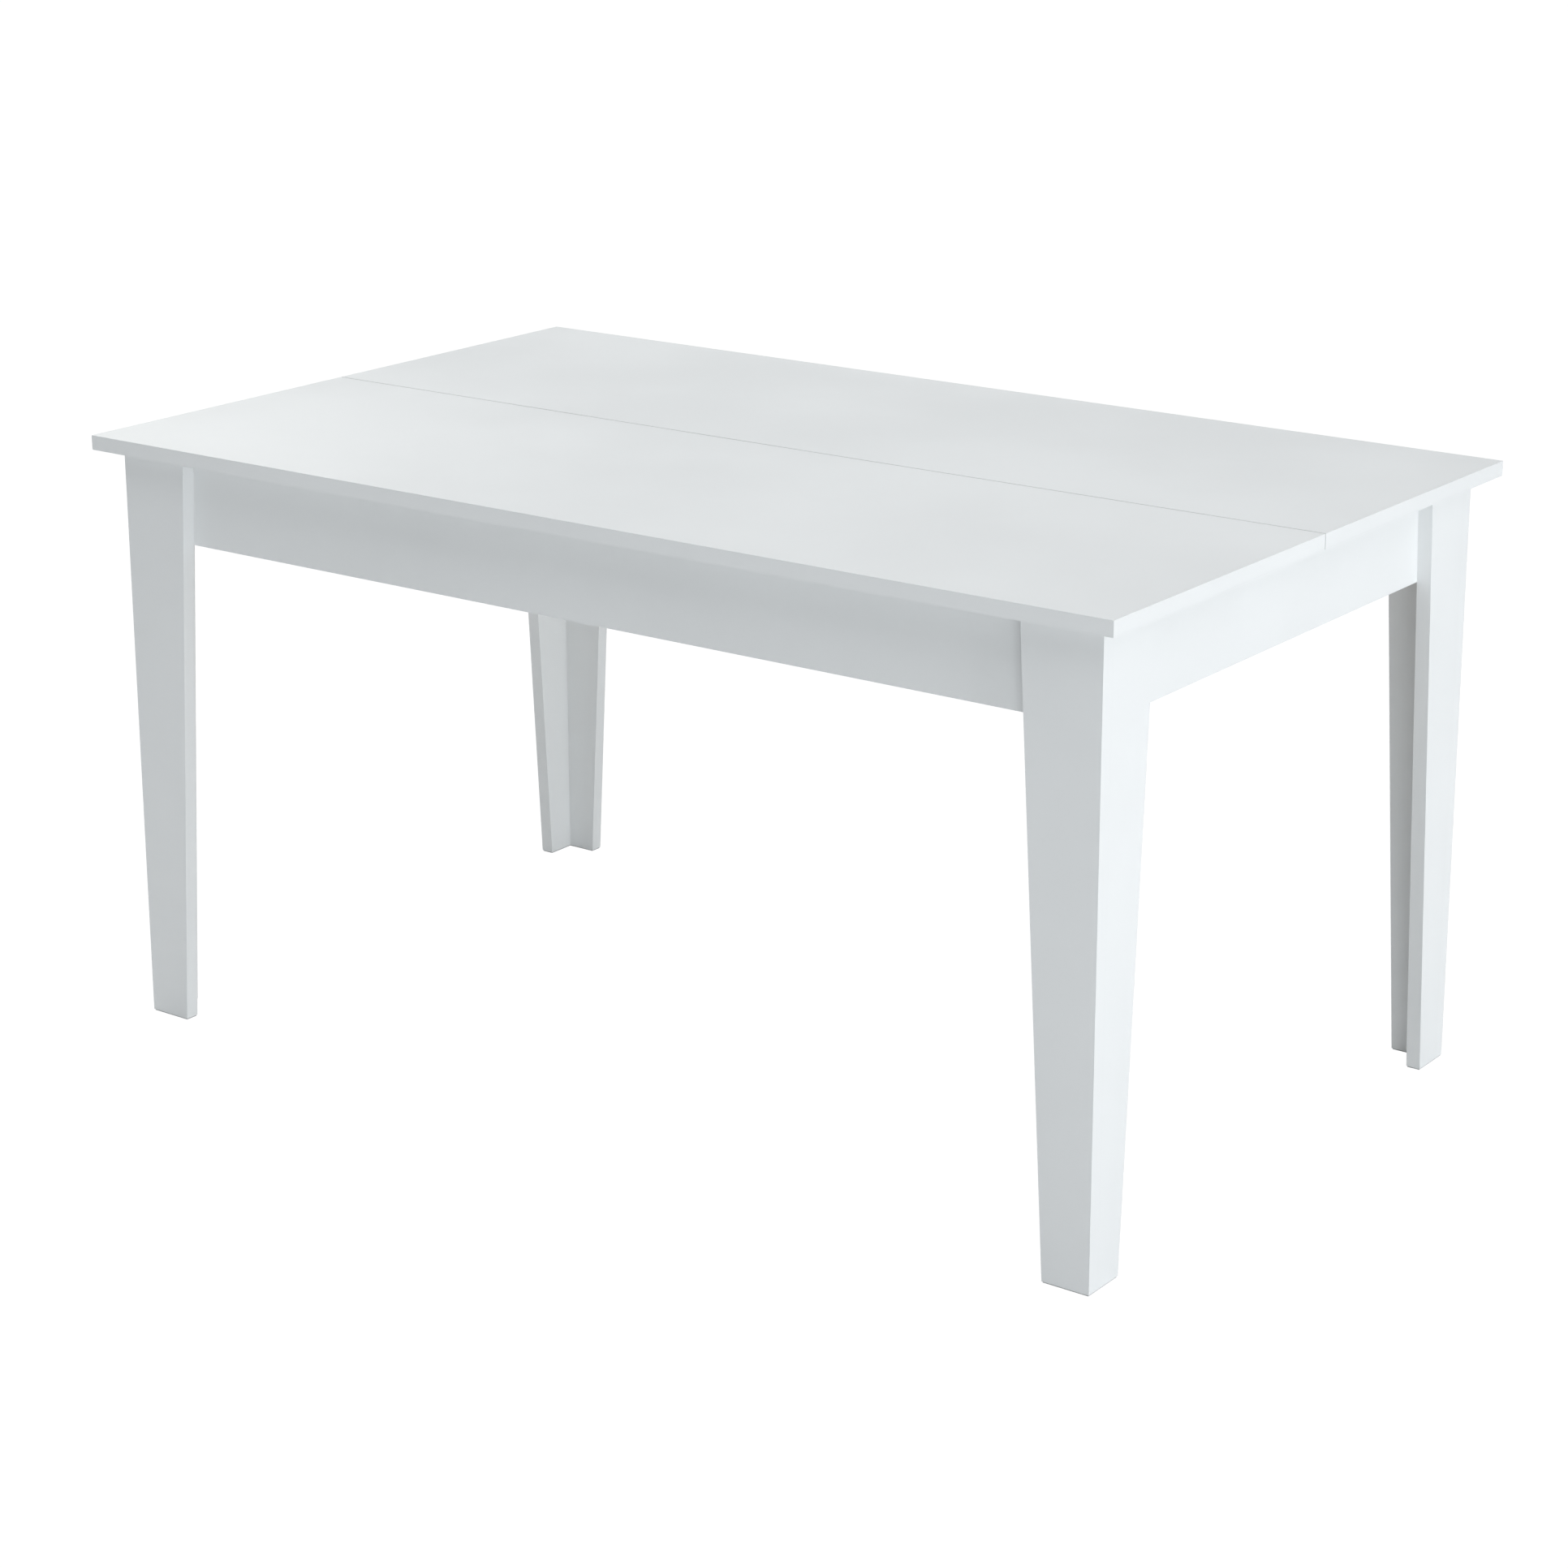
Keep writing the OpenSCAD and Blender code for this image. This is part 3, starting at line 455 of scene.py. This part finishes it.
def white_board_material(node):
    """White melamine for one board, with the hairline of its edging where its own edges are."""
    settings = bpy.context.scene.table_boards
    white = tuple(settings.white)
    low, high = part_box(node)
    material, tree, shader = new_material(f"White board {node}")
    surface = group_node(tree, board_surface_group())
    edging = group_node(tree, board_edge_group(), Low=tuple(low), High=tuple(high), Band=settings.band)
    dust = group_node(tree, settled_dust_group(), Scale=25.0)["Dust"]
    clouds = remap(tree, surface["Cloud"], CLOUD_LOW, CLOUD_HIGH)
    tone = mix_colour(tree, clouds, shade(white, 0.985), shade(white, 1.01))
    tone = tint(tree, tone, edging["Seam"], 0.28, shade(white, 0.62))
    tone = tint(tree, tone, dust, 0.02, shade(white, 0.9))
    tree.links.new(tone, shader.inputs["Base Color"])
    smooth, dull = settings.gloss - 0.03, settings.gloss + 0.03
    rough = remap(tree, surface["Cloud"], CLOUD_LOW, CLOUD_HIGH, smooth, dull)
    rough = maths(tree, "SUBTRACT", rough, maths(tree, "MULTIPLY", edging["Edge"], 0.06))
    rough = maths(tree, "MULTIPLY_ADD", surface["Grain"], 0.06, rough)
    tree.links.new(maths(tree, "MULTIPLY_ADD", dust, 0.03, rough), shader.inputs["Roughness"])
    height = maths(tree, "SUBTRACT", surface["Height"], maths(tree, "MULTIPLY", edging["Seam"], 1.2))
    bump(tree, shader, height, strength=0.25, distance=0.04 * MM)
    return material


def timber_material(name, along):
    """Bare planed beech; along is the grain's direction, 0, 1 or 2 for X, Y or Z."""
    key = f"Beech {name}"
    if key in bpy.data.materials:
        return bpy.data.materials[key]
    timber = tuple(bpy.context.scene.table_hardware.timber)
    material, tree, shader = new_material(key)
    across, lengthways = 16.0, 1.3
    stretch = [across] * 3
    stretch[along] = lengthways
    grain = group_node(tree, timber_grain_group(), Along=tuple(stretch))
    dust = group_node(tree, settled_dust_group(), Scale=60.0)["Dust"]
    tone = mix_colour(tree, grain["Figure"], shade(timber, 1.22), shade(timber, 0.80))
    tone = tint(tree, tone, grain["Fleck"], 0.35, shade(timber, 0.50))
    tone = tint(tree, tone, dust, 0.12, WARM_DUST)
    tree.links.new(tone, shader.inputs["Base Color"])
    tree.links.new(remap(tree, grain["Figure"], 0.0, 1.0, 0.52, 0.68), shader.inputs["Roughness"])
    bump(tree, shader, grain["Height"], strength=0.35, distance=0.1 * MM)
    return material


def metal_material(name, colour, along, rough_low, rough_high):
    """Plated steel or anodised alloy with lines along one axis."""
    if name in bpy.data.materials:
        return bpy.data.materials[name]
    material, tree, shader = new_material(name)
    across, lengthways = 1600.0, 45.0
    stretch = [across] * 3
    stretch[along] = lengthways
    skin = group_node(tree, metal_surface_group(), Along=tuple(stretch))
    dust = group_node(tree, settled_dust_group(), Scale=80.0)["Dust"]
    tone = mix_colour(tree, skin["Patches"], shade(colour, 0.90), shade(colour, 1.06))
    tone = tint(tree, tone, skin["Lines"], 0.25, shade(colour, 0.8))
    tone = tint(tree, tone, dust, 0.10, GREY_DUST)
    tree.links.new(tone, shader.inputs["Base Color"])
    shader.inputs["Metallic"].default_value = 1.0
    rough = remap(tree, skin["Patches"], 0.25, 0.75, rough_low, rough_high)
    rough = maths(tree, "MULTIPLY_ADD", skin["Lines"], 0.08, rough)
    tree.links.new(maths(tree, "MULTIPLY_ADD", dust, 0.12, rough), shader.inputs["Roughness"])
    bump(tree, shader, skin["Lines"], strength=0.12, distance=0.03 * MM)
    return material


def moulded_material(name, colour, rough):
    """Moulded nylon, plastic or rubber."""
    if name in bpy.data.materials:
        return bpy.data.materials[name]
    material, tree, shader = new_material(name)
    skin = group_node(tree, moulded_surface_group())
    dust = group_node(tree, settled_dust_group(), Scale=90.0)["Dust"]
    tone = mix_colour(tree, skin["Speckle"], shade(colour, 0.85), shade(colour, 1.18))
    tone = tint(tree, tone, dust, 0.15, DULL_DUST)
    tree.links.new(tone, shader.inputs["Base Color"])
    spread = 0.12
    speckled = maths(tree, "MULTIPLY_ADD", skin["Speckle"], spread, rough - spread / 2)
    tree.links.new(speckled, shader.inputs["Roughness"])
    bump(tree, shader, skin["Height"], strength=0.3, distance=0.03 * MM)
    return material


def zinc(along):
    """Zinc plate with its lines along X, Y or Z, given as 0, 1 or 2."""
    steel = tuple(bpy.context.scene.table_hardware.steel)
    return metal_material(f"Zinc plate {'XYZ'[along]}", steel, along, rough_low=0.36, rough_high=0.54)


def nylon():
    return moulded_material("Black nylon", tuple(bpy.context.scene.table_hardware.nylon), rough=0.48)


# ---- Finishing CAD nodes ----

def finish(node, material, radius, segments=2):
    """Gives a CAD node its material and softened edges."""
    target = frame["nodes"][node]
    target.data.materials.clear()
    target.data.materials.append(material)
    soften(target, radius, segments)


def finish_board(node):
    """Gives a white board its own material and its rounded edging."""
    finish(node, white_board_material(node), bpy.context.scene.table_boards.edge_radius, segments=3)


def soften(target, radius, segments):
    """Rounds a mesh's sharp edges a little, with a modifier."""
    edge = target.modifiers.new("Soft edges", "BEVEL")
    edge.width = radius
    edge.segments = segments
    edge.limit_method = "ANGLE"
    edge.angle_limit = SHARP_EDGE
    edge.use_clamp_overlap = False
    edge.harden_normals = True
    edge.miter_outer = "MITER_ARC"
    for polygon in target.data.polygons:
        polygon.use_smooth = True


# ---- Operators ----

class TableOperator(bpy.types.Operator):
    """Shared base of the table's operators."""
    bl_options = {"REGISTER", "UNDO"}


class TABLE_OT_top(TableOperator):
    """Finish the two leaves of the top"""
    bl_idname = "table.top"
    bl_label = "Top leaves"

    def execute(self, context):
        for node in LEAVES:
            finish_board(node)
        return {"FINISHED"}


class TABLE_OT_legs(TableOperator):
    """Finish the boards of the four legs"""
    bl_idname = "table.legs"
    bl_label = "Leg boards"

    def execute(self, context):
        for node in LEG_BOARDS:
            finish_board(node)
        return {"FINISHED"}


class TABLE_OT_aprons(TableOperator):
    """Finish the four aprons"""
    bl_idname = "table.aprons"
    bl_label = "Aprons"

    def execute(self, context):
        for node in APRONS:
            finish_board(node)
        return {"FINISHED"}


class TABLE_OT_insert(TableOperator):
    """Finish the folded insert and its hinges"""
    bl_idname = "table.insert"
    bl_label = "Folding insert"

    def execute(self, context):
        for node in INSERT_HALVES:
            finish_board(node)
        for node in HINGES:
            finish(node, zinc(1), context.scene.table_hardware.edge_break)
        return {"FINISHED"}


class TABLE_OT_timber(TableOperator):
    """Finish the bare wood: corner blocks, bearers, battens and locating pins"""
    bl_idname = "table.timber"
    bl_label = "Bare timber"

    def execute(self, context):
        for node in BLOCKS:
            finish(node, timber_material("blocks", 2), TIMBER_EDGE)
        for node in BEARERS + PINS:
            finish(node, timber_material("bearers", 1), TIMBER_EDGE)
        for node in BATTENS:
            finish(node, timber_material("battens", 0), TIMBER_EDGE)
        return {"FINISHED"}


class TABLE_OT_rails(TableOperator):
    """Finish the channels, the runners and the brackets"""
    bl_idname = "table.rails"
    bl_label = "Rails"

    def execute(self, context):
        hardware = context.scene.table_hardware
        for node in CHANNELS + ["bearer_brackets"]:
            finish(node, zinc(1), hardware.edge_break)
        alloy = metal_material(
            "Anodised alloy", tuple(hardware.alloy), along=1, rough_low=0.30, rough_high=0.40)
        for node in RUNNERS:
            finish(node, alloy, hardware.edge_break)
        return {"FINISHED"}


class TABLE_OT_gears(TableOperator):
    """Finish the racks, pinions, axles, pads and buffers"""
    bl_idname = "table.gears"
    bl_label = "Gears and stops"

    def execute(self, context):
        edge = context.scene.table_hardware.edge_break
        for node in RACKS + PINIONS + ["slide_pads"]:
            finish(node, nylon(), edge)
        for node in ("pinion_axles", "axle_clips"):
            finish(node, zinc(2), edge)
        finish("travel_buffers", moulded_material("Black rubber", RUBBER_BLACK, rough=0.72), RUBBER_EDGE)
        return {"FINISHED"}


class TABLE_OT_locks(TableOperator):
    """Finish the turning locks under the split"""
    bl_idname = "table.locks"
    bl_label = "Locks"

    def execute(self, context):
        for node in ["lock_plates", "lock_keepers"] + LEVERS:
            finish(node, zinc(0), context.scene.table_hardware.edge_break)
        return {"FINISHED"}


class TABLE_OT_feet(TableOperator):
    """Finish the glides under the legs"""
    bl_idname = "table.feet"
    bl_label = "Glides"

    def execute(self, context):
        finish("leg_glides", moulded_material("Grey plastic", PLASTIC_GREY, rough=0.5), GLIDE_EDGE)
        return {"FINISHED"}


class TABLE_OT_fasteners(TableOperator):
    """Build the wood screws and the leg bolts, with their recesses and threads"""
    bl_idname = "table.fasteners"
    bl_label = "Fasteners"

    def execute(self, context):
        for node in WOOD_SCREWS:
            build_fasteners(node, cross_recess(), wall=0.45)
        build_fasteners("leg_bolts", hexagon_recess(), wall=0.85)
        return {"FINISHED"}


def build_fasteners(node, recess, wall):
    """Builds a detailed screw for each plain one of a node; wall is the upright share of its head."""
    shape = bmesh.new()
    for points in loose_parts(node):
        place, length, shank, head, head_height = measure_screw(points)
        add_screw(shape, place, length, shank, head, head_height, recess, wall)
    for edge in shape.edges:
        edge.smooth = edge.calc_face_angle(0.0) < SHARP_CREASE
    mesh = bpy.data.meshes.new(f"{node}_made")
    shape.to_mesh(mesh)
    shape.free()
    for polygon in mesh.polygons:
        polygon.use_smooth = True
    mesh.materials.append(zinc(2))
    piece = bpy.data.objects.new(f"{node}_made", mesh)
    bpy.context.scene.collection.objects.link(piece)
    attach(piece, body_of(frame["nodes"][node])[0])
    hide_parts(node)


def loose_parts(node):
    """The corner points of each separate solid of a CAD node."""
    shape = bmesh.new()
    shape.from_mesh(frame["nodes"][node].data)
    bmesh.ops.remove_doubles(shape, verts=shape.verts, dist=0.001 * MM)
    seen, parts = set(), []
    for start in shape.verts:
        if start in seen:
            continue
        seen.add(start)
        waiting, points = [start], []
        while waiting:
            corner = waiting.pop()
            points.append(corner.co.copy())
            for edge in corner.link_edges:
                other = edge.other_vert(corner)
                if other not in seen:
                    seen.add(other)
                    waiting.append(other)
        parts.append(points)
    shape.free()
    return parts


def measure_screw(points):
    """A screw's place, with +Z out of its head from the head's underside, and its length and sizes."""
    low = Vector([min(point[i] for point in points) for i in range(3)])
    high = Vector([max(point[i] for point in points) for i in range(3)])
    spans = high - low
    axis = max(range(3), key=lambda i: spans[i])
    middle = (low + high) / 2

    def radius(point):
        away = point - middle
        away[axis] = 0.0
        return away.length

    head = max(radius(point) for point in points)
    slack = 0.01 * MM
    head_ends = [point[axis] for point in points if radius(point) > head - 5 * slack]
    up = max(head_ends) > high[axis] - slack
    tip = low[axis] if up else high[axis]
    shank = max(radius(point) for point in points if abs(point[axis] - tip) < slack)
    seat = min(head_ends) if up else max(head_ends)
    direction = Vector((0.0, 0.0, 0.0))
    direction[axis] = 1.0 if up else -1.0
    origin = middle.copy()
    origin[axis] = seat
    place = Matrix.Translation(origin) @ direction.to_track_quat("Z", "Y").to_matrix().to_4x4()
    return place, abs(seat - tip), shank, head, max(head_ends) - min(head_ends)


def cross_recess():
    """Outline of a cross recess, as shares of the head's radius."""
    arm, reach = 0.13, 0.55
    quarter = [(arm, reach), (arm, arm), (reach, arm)]
    turns = [quarter]
    for _ in range(3):
        turns.append([(y, -x) for x, y in turns[-1]])
    return [point for turn in turns for point in turn]


def hexagon_recess():
    """Outline of a hexagon socket, as shares of the head's radius."""
    reach = 0.5
    turns = [math.radians(60 * i) for i in range(6)]
    return [(reach * math.cos(turn), -reach * math.sin(turn)) for turn in turns]


def add_screw(shape, place, length, shank, head, head_height, recess, wall):
    """One screw: domed head with its recess, and a ridged shank that ends in a point."""
    steps, dome, crown = 20, 4, 0.62
    pitch, root = 1.3 * MM, 0.80
    rings = []
    for i in range(dome + 1):
        angle = math.radians(90 * i / dome)
        radius = head * (crown + (1 - crown) * math.sin(angle))
        rings.append((radius, head_height * (wall + (1 - wall) * math.cos(angle))))
    rings += [(head, 0.0), (shank, 0.0)]
    tip_length = 2.2 * shank
    ridges = int((length - tip_length) / pitch)
    lead_in, valley, crest = 0.3, 0.35, 0.5
    for i in range(ridges):
        top = -(i + lead_in) * pitch
        rings += [(shank * root, top), (shank * root, top - valley * pitch), (shank, top - crest * pitch)]
    rings.append((shank * root, -length + tip_length))
    angles = [2 * math.pi * i / steps for i in range(steps)]

    def corner(x, y, z):
        return shape.verts.new(place @ Vector((x, y, z)))

    loops = [[corner(radius * math.cos(a), radius * math.sin(a), z) for a in angles]
             for radius, z in rings]
    for upper, lower in zip(loops, loops[1:]):
        for i in range(steps):
            shape.faces.new((upper[i], upper[i - 1], lower[i - 1], lower[i]))
    point = corner(0.0, 0.0, -length)
    for i in range(steps):
        shape.faces.new((loops[-1][i], loops[-1][i - 1], point))
    narrow, deep = 0.6, 0.3
    brim = [corner(head * x, head * y, head_height) for x, y in recess]
    floor = [corner(narrow * head * x, narrow * head * y, deep * head_height) for x, y in recess]
    for i in range(len(recess)):
        shape.faces.new((brim[i - 1], brim[i], floor[i], floor[i - 1]))
    bmesh.ops.triangulate(shape, faces=[shape.faces.new(floor)])
    rim = [shape.edges.get((loops[0][i], loops[0][i - 1])) for i in range(steps)]
    rim += [shape.edges.get((brim[i], brim[i - 1])) for i in range(len(recess))]
    normal = place.to_3x3() @ Vector((0.0, 0.0, 1.0))
    bmesh.ops.triangle_fill(shape, edges=rim, normal=normal, use_beauty=True)


class TABLE_OT_stage(TableOperator):
    """Set up the pale floor, the soft lights and the camera"""
    bl_idname = "table.stage"
    bl_label = "Studio"

    def execute(self, context):
        studio = context.scene.table_studio
        build_floor()
        build_world(studio.sky)
        for name, setting, place, width, height, colour in LIGHTS:
            area_light(name, getattr(studio, setting), place, width, height, colour)
        build_camera(studio.lens)
        context.scene.view_settings.view_transform = "Standard"
        return {"FINISHED"}


def build_floor():
    """A floor that curves up behind the table into a backdrop."""
    reach, near, height, curve, steps = 14.0, -14.0, 9.0, 3.0, 12
    section = [(near, 0.0)]
    for step in range(steps + 1):
        angle = math.radians(90) * step / steps
        section.append((reach - curve + curve * math.sin(angle), curve - curve * math.cos(angle)))
    section.append((reach, height))
    turn = Matrix.Rotation(CAMERA_TURN, 3, "Z")
    mesh = bpy.data.meshes.new("floor")
    points = [turn @ Vector((x, y, z)) for y, z in section for x in (-reach, reach)]
    faces = [(2 * i, 2 * i + 1, 2 * i + 3, 2 * i + 2) for i in range(len(section) - 1)]
    mesh.from_pydata(points, [], faces)
    for polygon in mesh.polygons:
        polygon.use_smooth = True
    floor = bpy.data.objects.new("floor", mesh)
    bpy.context.scene.collection.objects.link(floor)
    mesh.materials.append(floor_material())


def floor_material():
    """Plain white floor, lifted for the eye alone to read as a white surround, and clear from below."""
    material, tree, shader = new_material("White floor")
    shader.inputs["Base Color"].default_value = FLOOR_GREY
    shader.inputs["Roughness"].default_value = FLOOR_ROUGHNESS
    glow = add_node(tree, "ShaderNodeEmission", None, Color=WHITE, Strength=FLOOR_GLOW)
    path = tree.nodes.new("ShaderNodeLightPath")
    lifted = tree.nodes.new("ShaderNodeMixShader")
    tree.links.new(maths(tree, "MULTIPLY", path.outputs["Is Camera Ray"], FLOOR_LIFT), lifted.inputs[0])
    tree.links.new(shader.outputs["BSDF"], lifted.inputs[1])
    tree.links.new(glow.outputs[0], lifted.inputs[2])
    geometry = tree.nodes.new("ShaderNodeNewGeometry")
    open_below = tree.nodes.new("ShaderNodeMixShader")
    tree.links.new(geometry.outputs["Backfacing"], open_below.inputs[0])
    tree.links.new(lifted.outputs[0], open_below.inputs[1])
    tree.links.new(tree.nodes.new("ShaderNodeBsdfTransparent").outputs[0], open_below.inputs[2])
    output = next(n for n in tree.nodes if n.type == "OUTPUT_MATERIAL")
    tree.links.new(open_below.outputs[0], output.inputs["Surface"])
    return material


def build_world(strength):
    """An even pale light all round, which the eye sees as white."""
    world = bpy.data.worlds.new("Studio surround")
    world.use_nodes = True
    tree = world.node_tree
    background = tree.nodes["Background"]
    background.inputs["Color"].default_value = SURROUND_COLOUR
    seen = tree.nodes.new("ShaderNodeLightPath").outputs["Is Camera Ray"]
    to_eye = maths(tree, "MULTIPLY_ADD", seen, SURROUND_SEEN - strength, strength)
    tree.links.new(to_eye, background.inputs["Strength"])
    bpy.context.scene.world = world


def area_light(name, power, place, width, height, colour):
    """A rectangular soft light that looks at the middle of the table."""
    lamp = bpy.data.lights.new(name, "AREA")
    lamp.shape = "RECTANGLE"
    lamp.size = width
    lamp.size_y = height
    lamp.energy = power
    lamp.color = colour
    holder = bpy.data.objects.new(name, lamp)
    holder.location = place
    holder.rotation_euler = (LIGHT_AIM - Vector(place)).to_track_quat("-Z", "Y").to_euler()
    bpy.context.scene.collection.objects.link(holder)


def build_camera(lens):
    """The camera, out from the front right corner and above the top."""
    camera = bpy.data.cameras.new("Camera")
    camera.lens = lens
    camera.sensor_width = SENSOR_WIDTH
    camera.shift_x, camera.shift_y = CAMERA_SHIFT
    camera.clip_end = VIEW_LIMIT
    holder = bpy.data.objects.new("Camera", camera)
    holder.location = CAMERA_PLACE
    holder.rotation_euler = (math.radians(90) - CAMERA_DOWN, 0.0, CAMERA_TURN)
    bpy.context.scene.collection.objects.link(holder)
    bpy.context.scene.camera = holder


OPERATORS = [
    TABLE_OT_stage, TABLE_OT_top, TABLE_OT_legs, TABLE_OT_aprons, TABLE_OT_insert, TABLE_OT_timber,
    TABLE_OT_rails, TABLE_OT_gears, TABLE_OT_locks, TABLE_OT_feet, TABLE_OT_fasteners,
]


class TABLE_PT_panel(bpy.types.Panel):
    """Lists the table's build steps and settings"""
    bl_idname = "TABLE_PT_panel"
    bl_label = "Extendable table"
    bl_space_type = "VIEW_3D"
    bl_region_type = "UI"
    bl_category = "Table"

    def draw(self, context):
        for setting in SETTINGS:
            group = getattr(context.scene, setting)
            box = self.layout.box()
            for name in group.__annotations__:
                box.prop(group, name)
        for operator in OPERATORS:
            self.layout.operator(operator.bl_idname)


SETTINGS = {
    "table_boards": BoardSettings,
    "table_hardware": HardwareSettings,
    "table_studio": StudioSettings,
}
CLASSES = [*SETTINGS.values(), *OPERATORS, TABLE_PT_panel]


def register():
    for made in CLASSES:
        bpy.utils.register_class(made)
    for name, settings in SETTINGS.items():
        setattr(bpy.types.Scene, name, PointerProperty(type=settings))


def unregister():
    for name in SETTINGS:
        delattr(bpy.types.Scene, name)
    for made in reversed(CLASSES):
        bpy.utils.unregister_class(made)


def main():
    register()
    for operator in OPERATORS:
        group, name = operator.bl_idname.split(".")
        getattr(getattr(bpy.ops, group), name)()


if __name__ == "__main__":
    main()
